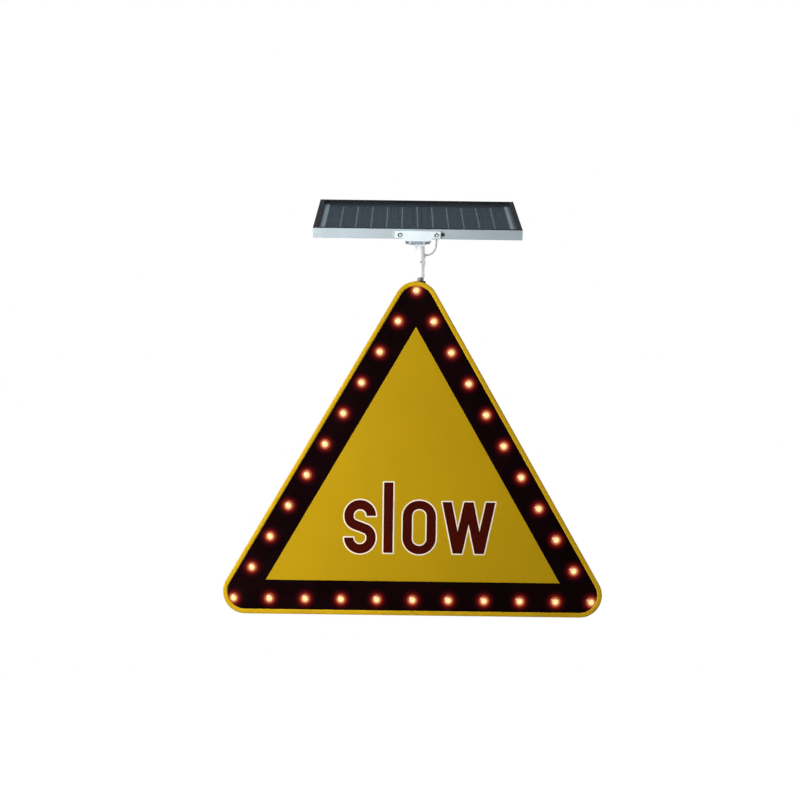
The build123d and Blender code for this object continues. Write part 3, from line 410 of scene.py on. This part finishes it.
def dusty(look, base, dust=(0.30, 0.27, 0.22), amount=0.35):
    """Faint dust in blotches and fine specks."""
    blotch = look.span(look.noise(0.05, 5), 0.5, 0.8, 0, amount)
    specks = look.span(look.noise(0.0016, 2), 0.66, 0.74, 0, amount)
    return look.mix(look.math("MAXIMUM", blotch, specks), base, dust)


# ------------------------------------------------------------------ plain materials
HUB_R = 9.6 * MM  # greyer hub round the hinge's axis


def enamel(slot, colour, rough=0.28, peel=0.00003, dust=0.2, gloss=0.5, runs=0.0):
    """Stoved paint: orange peel, slight colour drift, dust, and marks where rain has run down it."""
    look = Look(slot)
    base = dusty(look, mottle(look, colour), amount=dust)
    run = look.noise(0.02, 4, at=look.stretched(1.0, 1.0, 0.07))
    patch = look.span(look.noise(0.2), 0.4, 0.65)
    wet = look.math("MULTIPLY", look.span(run, 0.5, 0.75, 0, runs), patch)
    look.set(Base_Color=look.mix(wet, base, shade(colour, 0.55)))
    look.set(Roughness=look.span(look.noise(0.03, 5), 0.3, 0.75, rough - 0.07, rough + 0.14))
    look.set(Specular_IOR_Level=gloss, Coat_Weight=gloss / 2, Coat_Roughness=0.12)
    look.bump(look.noise(0.0022, 2), peel)
    look.bump(look.noise(0.012, 3, at=look.stretched(1, 1, 14)), peel * 0.6, 0.5)


def casting(slot, colour, hub):
    """Painted casting, greyer on the hub round the hinge's axis."""
    look = Look(slot)
    _, y, z = look.xyz()
    reach = look.distance(look.math("SUBTRACT", y, hinge.y), look.math("SUBTRACT", z, hinge.z))
    ragged = look.math("ADD", reach, look.math("MULTIPLY", look.noise(0.004), 0.7 * MM))
    # greyer within HUB_R of the hinge's axis, with a ragged border
    painted = look.span(ragged, HUB_R, HUB_R + 0.6 * MM)
    paint = dusty(look, mottle(look, colour, 0.03, 0.04), amount=0.04)
    look.set(Base_Color=look.mix(painted, hub, paint), Specular_IOR_Level=0.3)
    look.uneven(0.01, 0.36, 0.55, 4)
    look.bump(look.noise(0.0011, 3), 0.00008)


def metal(slot, colour, grain=(1, 60, 60), rough=0.34, depth=0.00002, spangle=0.0):
    """Bare metal: fine grain one way, smudges, and zinc spangle where asked for."""
    look = Look(slot)
    streaks = look.noise(0.012, 6, 0.65, at=look.stretched(*grain))
    base = look.ramp(streaks, (0.25, shade(colour, 0.82)), (0.75, shade(colour, 1.1)))
    if spangle:
        base = look.mix(look.span(look.grains(spangle), 0, 1, 0, 0.45), base, shade(colour, 0.62))
    look.set(Base_Color=dusty(look, base, amount=0.18), Metallic=1.0)
    look.uneven(0.04, rough - 0.06, rough + 0.16, 4)
    look.bump(streaks, depth)


def plastic(slot, colour, rough=0.5, grain=0.0006, depth=0.00003):
    """Moulded plastic with a fine sparked texture."""
    look = Look(slot)
    look.set(Base_Color=dusty(look, mottle(look, colour, 0.03), amount=0.12))
    look.uneven(0.02, rough - 0.06, rough + 0.1, 4)
    look.bump(look.noise(grain, 2), depth)


def rubber(slot, colour):
    """Dull rubber with a pale bloom in patches."""
    look = Look(slot)
    bloom = look.span(look.noise(0.015, 5), 0.5, 0.8, 0, 0.3)
    look.set(Base_Color=look.mix(bloom, colour, (0.09, 0.088, 0.085)))
    look.uneven(0.004, 0.62, 0.82, 4)
    look.bump(look.noise(0.0005, 3), 0.00002)


# ------------------------------------------------------------------ materials of the sign's face
LENS_R = 7.0 * MM
# reach of the painted red glow round each lamp on the black film
PAINTED_GLOW_R = 20.0 * MM
lens_low, lens_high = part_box("led_lenses")
LAMP_SIDE = lens_high.x - lens_low.x - 2 * LENS_R
LAMP_PITCH = LAMP_SIDE / 10
LAMP_ROW = LAMP_SIDE / (2 * sqrt(3))  # lamp row to the middle of the sign
SIGN_CENTRE_Z = lens_low.z + LENS_R + LAMP_ROW
field_low, field_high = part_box("yellow_sheeting")
FIELD_ROW = (field_high.x - field_low.x) / (2 * sqrt(3))  # the yellow field's side to the middle
CELL_PITCH = 4.2 * MM  # of the sheeting's honeycomb


def side_places(look):
    """For each of the three sides, distance along it and towards it from the sign's middle."""
    x, _, z = look.xyz()
    z = look.math("SUBTRACT", z, SIGN_CENTRE_Z)
    places = []
    for turn in (0, 120, 240):
        along_row, up_row = Matrix.Rotation(radians(-turn), 2)
        along = look.weighed(x, along_row[0], z, along_row[1])
        up = look.weighed(x, up_row[0], z, up_row[1])
        places.append((along, look.math("MULTIPLY", up, -1)))
    return places


def lamp_distance(look):
    """Distance on the face to the nearest lamp's middle."""
    gaps = []
    for along, out in side_places(look):
        step = look.math("WRAP", along, LAMP_PITCH / 2, -LAMP_PITCH / 2)
        gaps.append(look.distance(step, look.math("SUBTRACT", out, LAMP_ROW)))
    return look.fold("MINIMUM", gaps)


def cell_reach(look):
    """How far out from its six-sided cell's middle a place on the face is: half the pitch at a seam."""
    x, _, z = look.xyz()
    row = CELL_PITCH * sqrt(3) / 2
    reaches = []
    for shift_x, shift_z in ((0, 0), (CELL_PITCH / 2, row)):
        aside = look.math("WRAP", look.math("ADD", x, shift_x), CELL_PITCH / 2, -CELL_PITCH / 2)
        up = look.math("WRAP", look.math("ADD", z, shift_z), row, -row)
        aside, up = look.math("ABSOLUTE", aside), look.math("ABSOLUTE", up)
        reaches.append(look.math("MAXIMUM", aside, look.weighed(aside, 0.5, up, sqrt(3) / 2)))
    return look.fold("MINIMUM", reaches)


def yellow_sheet():
    """Retroreflective sheeting: honeycomb cells under a clear film, brighter along its cut edge."""
    look = Look("yellow_sheet")
    base = mottle(look, (0.425, 0.258, 0.003), 0.16, 0.05)
    in_seam = look.math("SUBTRACT", cell_reach(look), CELL_PITCH / 2)
    seam = look.span(in_seam, -0.42 * MM, -0.22 * MM, 0.0, 0.34)
    base = look.mix(seam, base, (0.55, 0.36, 0.01))
    outermost = look.fold("MAXIMUM", [out for _, out in side_places(look)])
    edge = look.span(outermost, FIELD_ROW - 9 * MM, FIELD_ROW - 3 * MM, 0.0, 0.55)
    base = look.mix(edge, base, (0.64, 0.44, 0.006))
    look.set(Base_Color=base, Specular_IOR_Level=0.08)
    look.uneven(0.05, 0.32, 0.46, 4)
    look.bump(look.noise(0.09, 2), 0.0004, 0.35)


def black_film():
    """Gloss black film with a painted red glow round each lamp, put in as emission for the lamps' light falling on
    it.
    """
    look = Look("black_film")
    film = mottle(look, (0.0045, 0.0008, 0.0012), 0.08, 0.4)
    look.set(Base_Color=dusty(look, film, (0.008, 0.004, 0.005), 0.25), Specular_IOR_Level=0.03)
    look.uneven(0.03, 0.24, 0.4, 5)
    # painted glow: emission that fades out from each lamp, standing in for the lamps' red light on the film
    near = look.math("DIVIDE", lamp_distance(look), PAINTED_GLOW_R)
    painted_lamp_glow = look.ramp(
        near, (0.36, (0.60, 0.115, 0.045)), (0.46, (0.19, 0.016, 0.006)), (0.58, (0.07, 0.0025, 0.002)),
        (0.78, (0.012, 0.0, 0.001)), (1.0, (0.0, 0.0, 0.0)),
    )
    look.set(Emission_Color=painted_lamp_glow, Emission_Strength=1.0)
    look.bump(look.noise(0.06, 3), 0.0003, 0.25)


def lamp_lens():
    """Lit lens: pale yellow over the die, orange towards its rim, with moulded ripple."""
    look = Look("lamp_lens")
    near = look.math("DIVIDE", lamp_distance(look), LENS_R)
    look.set(Base_Color=look.mix(look.noise(0.002), (0.10, 0.015, 0.008), (0.16, 0.03, 0.012)))
    look.uneven(0.003, 0.08, 0.2)
    glow = look.ramp(
        near, (0.0, (1.0, 0.93, 0.42)), (0.46, (1.0, 0.88, 0.38)), (0.74, (0.80, 0.38, 0.15)),
        (0.90, (0.42, 0.11, 0.04)), (1.0, (0.24, 0.035, 0.012)),
    )
    look.set(Emission_Color=glow, Emission_Strength=1.0)
    look.bump(look.noise(0.0022, 1), 0.0001, 0.5)


def printed(slot, colour, rough=0.3):
    """Cut film: flat colour with slight drift and a soft sheen."""
    look = Look(slot)
    look.set(Base_Color=mottle(look, colour, 0.05, 0.10), Specular_IOR_Level=0.05)
    look.uneven(0.02, rough - 0.05, rough + 0.1, 4)
    look.bump(look.noise(0.05, 3), 0.0002, 0.25)


# ------------------------------------------------------------------ materials of the solar panel
RAIL_SKIN = 1 * MM  # outer part of the rails' walls, left out of the painted shade
SHADED_ENDS_FROM = 94 * MM  # painted shade at the front and rear ends starts this far from the middle of the cells, up and down the slope
MARGIN_LONGER = 14 * MM  # how far the light side margins run on past the cells
MARGIN_WIDTH = 5.5 * MM  # the light part of them; past it, painted shadow of the frame's lip
FINGER_PITCH = 2 * MM  # of the fine lines printed across the cells


def panel_places(look):
    """Place across the panel, up its slope and off it, from the hinge's axis."""
    node = look.add("ShaderNodeMapping", Vector=look.place, Location=hinge, Rotation=(panel_tilt, 0, 0))
    node.vector_type = "TEXTURE"
    return look.add("ShaderNodeSeparateXYZ", Vector=node.outputs[0]).outputs


def anodised(slot, colour):
    """Clear anodised section with painted shade, dark and not metallic, on its upper lips and on the inner walls
    above the back sheet.
    """
    look = Look(slot)
    across, along, height = panel_places(look)
    streaks = look.noise(0.012, 6, 0.65, at=look.stretched(0.4, 50, 50))
    base = look.ramp(streaks, (0.25, shade(colour, 0.88)), (0.75, shade(colour, 1.06)))
    # painted shade: the upper lips and the inner walls above the back sheet are made dark and not metallic
    lip = look.span(height, panel_top - 0.7 * MM, panel_top - 0.3 * MM)
    inside = look.fold("MULTIPLY", [
        look.math("LESS_THAN", look.math("ABSOLUTE", across), panel_half - RAIL_SKIN),
        look.math("GREATER_THAN", along, panel_front + RAIL_SKIN),
        look.math("LESS_THAN", along, panel_rear - RAIL_SKIN),
        look.math("GREATER_THAN", height, sheet_low.z),
    ])
    dark = look.math("MAXIMUM", lip, inside)
    look.set(Base_Color=look.mix(dark, base, (0.010, 0.015, 0.021)))
    look.set(Metallic=look.span(dark, 0, 1, 0.4, 0.0), Specular_IOR_Level=0.25)
    look.uneven(0.04, 0.48, 0.62, 4)
    look.bump(streaks, 0.00002)


def silicon():
    """Cells: blue-grey silicon with fine printed fingers and faint crystal grains."""
    look = Look("silicon")
    along = panel_places(look)[1]
    tone = look.span(look.grains(0.009), 0, 1, 0, 0.6)
    base = look.mix(tone, (0.008, 0.048, 0.086), (0.016, 0.064, 0.112))
    wave = look.math("ABSOLUTE", look.math("WRAP", along, FINGER_PITCH / 2, -FINGER_PITCH / 2))
    finger = look.span(wave, 0.05 * MM, 0.10 * MM, 0.25, 0.0)
    look.set(Base_Color=look.mix(finger, base, (0.12, 0.14, 0.16)), Specular_IOR_Level=0.10)
    look.uneven(0.01, 0.3, 0.42)


def backsheet():
    """Upper side tinted by the glass, with painted shade at its front and rear ends and painted shadow of the
    frame's lips past the light side margins; plain white underneath.
    """
    look = Look("white_backsheet")
    across, along, height = panel_places(look)
    aside = look.math("ABSOLUTE", across)
    margin = look.math("GREATER_THAN", aside, cells_high.x)
    reach = look.math("ABSOLUTE", look.math("SUBTRACT", along, (cells_low.y + cells_high.y) / 2))
    shorter = look.math("SUBTRACT", reach, look.math("MULTIPLY", margin, MARGIN_LONGER))
    # painted shade at the front and rear ends; in the side margins it starts further out
    shaded_ends = look.span(shorter, SHADED_ENDS_FROM, SHADED_ENDS_FROM + 3 * MM)
    margin_end = cells_high.x + MARGIN_WIDTH
    # painted shadow of the frame's lip past the light side margins
    outer = look.span(aside, margin_end, margin_end + 1.5 * MM, 0.0, 0.7)
    tinted = look.mix(margin, (0.42, 0.53, 0.60), mottle(look, (0.60, 0.78, 0.88), 0.05, 0.06))
    upper = look.mix(look.math("MAXIMUM", shaded_ends, outer), tinted, (0.004, 0.009, 0.016))
    above = look.math("GREATER_THAN", height, (sheet_low.z + sheet_high.z) / 2)
    under = dusty(look, mottle(look, (0.74, 0.75, 0.75), 0.06, 0.05), amount=0.2)
    look.set(Base_Color=look.mix(above, under, upper))
    look.uneven(0.02, 0.4, 0.55)
    look.bump(look.noise(0.004), 0.00003)


def clear_glass():
    """Tempered glass: see-through from above, reflecting more at a low angle, with rain spots."""
    look = Look("clear_glass")
    look.set(Base_Color=mottle(look, (0.018, 0.042, 0.062), 0.08, 0.1), Specular_IOR_Level=0.10)
    gloss = look.add("ShaderNodeLayerWeight", Blend=0.35)
    look.set(Alpha=look.span(gloss.outputs["Fresnel"], 0.0, 0.7, 0.08, 0.27))
    look.set(Roughness=look.span(look.noise(0.008, 5), 0.4, 0.8, 0.05, 0.2))


# ------------------------------------------------------------------ every slot's material
EVEN = (1, 1, 1)  # a metal's grain that runs no way in particular
ALONG_SLOPE = (30, 1, 30)

enamel("yellow_enamel", (0.52, 0.315, 0.004), 0.42, dust=0.03, gloss=0.10)
metal("mill_aluminium", (0.62, 0.63, 0.65))
yellow_sheet()
black_film()
printed("cream_film", (0.86, 0.76, 0.60))
printed("maroon_film", (0.050, 0.0036, 0.0012))
metal("rivet_aluminium", (0.66, 0.67, 0.68), EVEN, 0.3)
lamp_lens()
plastic("black_plastic", (0.02, 0.02, 0.022))
plastic("lamp_emitter", (0.85, 0.62, 0.2), 0.3)
plastic("circuit_board", (0.015, 0.11, 0.04), 0.35)
metal("zinc_steel", (0.50, 0.51, 0.51), EVEN, 0.3)
enamel("grey_enamel", (0.40, 0.41, 0.42), 0.42, peel=0.00005, dust=0.3, runs=0.5)
rubber("black_rubber", (0.016, 0.016, 0.017))
metal("stainless", (0.64, 0.64, 0.63), EVEN, 0.24)
plastic("battery_wrap", (0.02, 0.11, 0.42), 0.3)
plastic("dark_case", (0.045, 0.045, 0.05))
plastic("red_button", (0.52, 0.02, 0.018), 0.26)
metal("galvanised", (0.60, 0.62, 0.64), EVEN, 0.42, depth=0.00003, spangle=0.007)
enamel("dark_enamel", (0.11, 0.115, 0.12), 0.35)
casting("cast_grey", (0.90, 0.935, 0.97), hub=(0.40, 0.46, 0.52))
enamel("white_enamel", (0.74, 0.83, 0.88), 0.36, peel=0.00004, dust=0.08, gloss=0.25)
anodised("anodised", (0.50, 0.58, 0.62))
backsheet()
silicon()
metal("tinned_ribbon", (0.10, 0.135, 0.16), ALONG_SLOPE, 0.5)
clear_glass()
plastic("box_black", (0.024, 0.024, 0.027), 0.55)
plastic("cable_grey", (0.66, 0.63, 0.60), 0.5, grain=0.0004, depth=0.00001)

for part in frame["record"]["subparts"]:
    mesh = nodes[part["node"]].data
    mesh.materials.clear()
    mesh.materials.append(LOOKS[part["material_slot"]])
for piece, slot in made:
    piece.data.materials.append(LOOKS[slot])

# ------------------------------------------------------------------ small edge rounding on the CAD nodes
ROUNDED_MM = {
    "cradle": 0.7, "bracket_head": 0.6, "apex_block": 0.5, "rail_lower": 0.3, "rail_upper": 0.3,
    "clamp_saddle_lower": 0.5, "clamp_saddle_upper": 0.5, "clamp_hoop_lower": 0.5, "clamp_hoop_upper": 0.5,
    "panel_rail_front": 0.3, "panel_rail_rear": 0.3, "panel_rail_left": 0.3, "panel_rail_right": 0.3,
    "junction_box": 0.6, "junction_lid": 0.5, "back_cover": 0.3, "edge_frame": 0.3,
}
for name, width in ROUNDED_MM.items():
    bevel = nodes[name].modifiers.new("edge", "BEVEL")
    bevel.width = width * MM
    bevel.segments = 2
    bevel.limit_method = "ANGLE"
    bevel.angle_limit = radians(40)
    bevel.harden_normals = False

# ------------------------------------------------------------------ floor, light and backdrop
FLOOR_DROP = 0.31  # floor below the sign's underside
FLOOR_R = 1.5
sign_low, sign_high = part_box("edge_frame")
sign_middle = (sign_low + sign_high) / 2


def floor(seen, lit, rings=12, spokes=96):
    """A pale disc that fades into the white surroundings; it looks brighter than it lights."""
    verts = [Vector()]
    for ring in range(1, rings + 1):
        verts += circle(Vector(), FLOOR_R * ring / rings, Vector((0, 0, 1)), Vector((1, 0, 0)), spokes)
    hub = [(0, 1 + spoke, 1 + (spoke + 1) % spokes) for spoke in range(spokes)]
    outer = [tuple(1 + corner for corner in reversed(face)) for face in wall_faces(rings, spokes)]
    mesh = bpy.data.meshes.new("floor")
    mesh.from_pydata(verts, [], hub + outer)
    piece = bpy.data.objects.new("floor", mesh)
    piece.location = (sign_middle.x, face_y, sign_low.z - FLOOR_DROP)
    bpy.context.scene.collection.objects.link(piece)
    look = Look("floor")
    x, y, _ = look.xyz()
    look.set(Base_Color=mottle(look, (0.55, 0.55, 0.55), 0.3, 0.02), Roughness=0.8, Specular_IOR_Level=0.1)
    ray = look.add("ShaderNodeLightPath")
    glow = look.span(ray.outputs["Is Camera Ray"], 0, 1, lit, seen)
    look.set(Emission_Color=(1.0, 1.0, 1.0), Emission_Strength=glow)
    look.set(Alpha=look.span(look.distance(x, y), 0.4 * FLOOR_R, 0.98 * FLOOR_R, 1.0, 0.0))
    mesh.materials.append(look.material)


def hang(lamp, place, aim):
    """Puts a lamp at a place and turns it towards what it is to light."""
    holder = bpy.data.objects.new(lamp.name, lamp)
    holder.location = place
    holder.rotation_euler = (Vector(aim) - Vector(place)).to_track_quat("-Z", "Y").to_euler()
    bpy.context.scene.collection.objects.link(holder)


def area_light(name, place, aim, size, power):
    lamp = bpy.data.lights.new(name, "AREA")
    lamp.size, lamp.energy = size, power
    hang(lamp, place, aim)


def spot_light(name, place, aim, cone, power):
    lamp = bpy.data.lights.new(name, "SPOT")
    lamp.spot_size, lamp.energy = cone, power
    lamp.spot_blend = 1.0
    lamp.shadow_soft_size = 0.12
    hang(lamp, place, aim)


def surroundings(seen, lit_front, lit_behind):
    """White to look at; as a light, dimmer in front of the sign than behind it."""
    world = bpy.data.worlds.new("surroundings")
    world.use_nodes = True
    bpy.context.scene.world = world
    tree = world.node_tree
    tree.nodes.clear()
    facing = tree.nodes.new("ShaderNodeTexCoord")
    split = tree.nodes.new("ShaderNodeSeparateXYZ")
    level = tree.nodes.new("ShaderNodeMapRange")
    set_range(level, -0.6, 0.6, lit_front, lit_behind)  # from well in front to well behind
    tree.links.new(facing.outputs["Generated"], split.inputs[0])
    tree.links.new(split.outputs["Y"], level.inputs["Value"])
    lit_sky, seen_sky = (tree.nodes.new("ShaderNodeBackground") for _ in range(2))
    for sky in (lit_sky, seen_sky):
        sky.inputs["Color"].default_value = (1, 1, 1, 1)
    tree.links.new(level.outputs[0], lit_sky.inputs["Strength"])
    seen_sky.inputs["Strength"].default_value = seen
    ray = tree.nodes.new("ShaderNodeLightPath")
    choice = tree.nodes.new("ShaderNodeMixShader")
    out = tree.nodes.new("ShaderNodeOutputWorld")
    tree.links.new(ray.outputs["Is Camera Ray"], choice.inputs["Fac"])
    tree.links.new(lit_sky.outputs[0], choice.inputs[1])
    tree.links.new(seen_sky.outputs[0], choice.inputs[2])
    tree.links.new(choice.outputs[0], out.inputs["Surface"])


floor(seen=0.72, lit=0.12)
surroundings(seen=1.0, lit_front=0.08, lit_behind=0.30)
below_hinge = hinge - Vector((0, 0, 30 * MM))
area_light("key", (-0.85, face_y - 0.7, 0.40), sign_middle, size=0.7, power=18.5)
area_light("front_fill", (0.2, face_y - 2.4, 0.6), sign_middle, size=1.6, power=1.4)
spot_light("bracket_spot", (-0.25, face_y - 0.8, 0.56), below_hinge, cone=radians(17), power=3)
area_light("top", (-0.4, face_y - 0.4, 1.7), hinge, size=0.9, power=7)
area_light("right_fill", (1.9, 0.1, 0.35), sign_middle, size=1.2, power=13)
area_light("back_left", (-1.2, 1.6, 0.1), sign_middle, size=1.8, power=15)
area_light("back_right", (1.5, 1.4, 0.1), sign_middle, size=1.8, power=11)
bpy.context.scene.view_settings.view_transform = "Standard"
